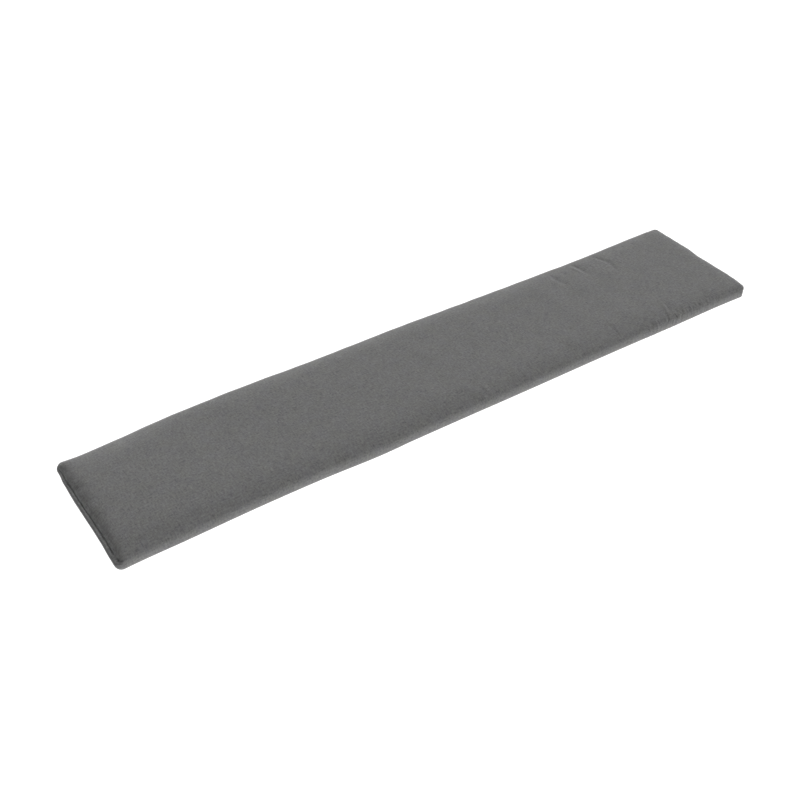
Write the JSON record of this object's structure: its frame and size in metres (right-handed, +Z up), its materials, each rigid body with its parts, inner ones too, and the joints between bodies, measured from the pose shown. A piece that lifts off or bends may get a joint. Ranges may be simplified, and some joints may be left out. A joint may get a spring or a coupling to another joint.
{
  "type": "bench cushion",
  "caption": "Long, slim, flat-lying bench cushion with softly rolled long edges and a sunk seam across each short end.",
  "frame": {"origin": "under the middle of the cushion, on the surface that it lies on", "axes": "+X along the cushion, +Y across it towards the back long side, +Z up"},
  "size_m": [1.499, 0.3094, 0.0352],
  "materials": {
    "cover_fabric": "matt dark grey fine woven fabric, slightly mottled, with a short soft nap"
  },
  "bodies": {
    "root": {"cushion": "cover_fabric"}
  },
  "joints": []
}
